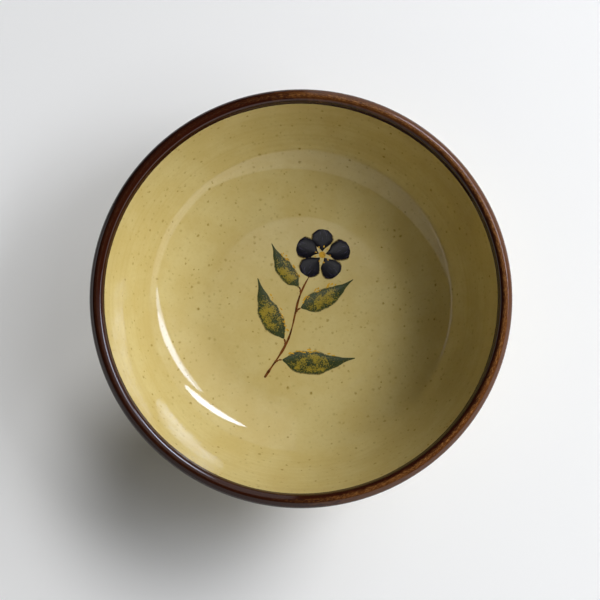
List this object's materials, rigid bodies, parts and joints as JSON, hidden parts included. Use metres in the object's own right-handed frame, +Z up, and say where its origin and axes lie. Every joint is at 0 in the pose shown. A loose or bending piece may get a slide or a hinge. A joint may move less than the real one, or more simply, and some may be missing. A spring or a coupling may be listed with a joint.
{
  "type": "coupe soup bowl",
  "caption": "Round coupe soup bowl in glazed stoneware, with a flared wall, a rounded dark lip, a speckled cream glaze and a bare clay foot ring to stand on.",
  "frame": {"origin": "centre of the foot ring, on the plane that the bowl stands on", "axes": "+Z up along the bowl's axis, out of its mouth; the clay is the same all round, and the picture's near side is -Y"},
  "size_m": [0.19, 0.19, 0.052],
  "materials": {
    "stoneware": "matte",
    "cream_glaze": "gloss",
    "brown_glaze": "gloss"
  },
  "bodies": {
    "root": {"clay_body": "stoneware", "liner_glaze": "cream_glaze", "rim_glaze": "brown_glaze", "outer_glaze": "cream_glaze", "base_glaze": "cream_glaze"}
  },
  "joints": []
}
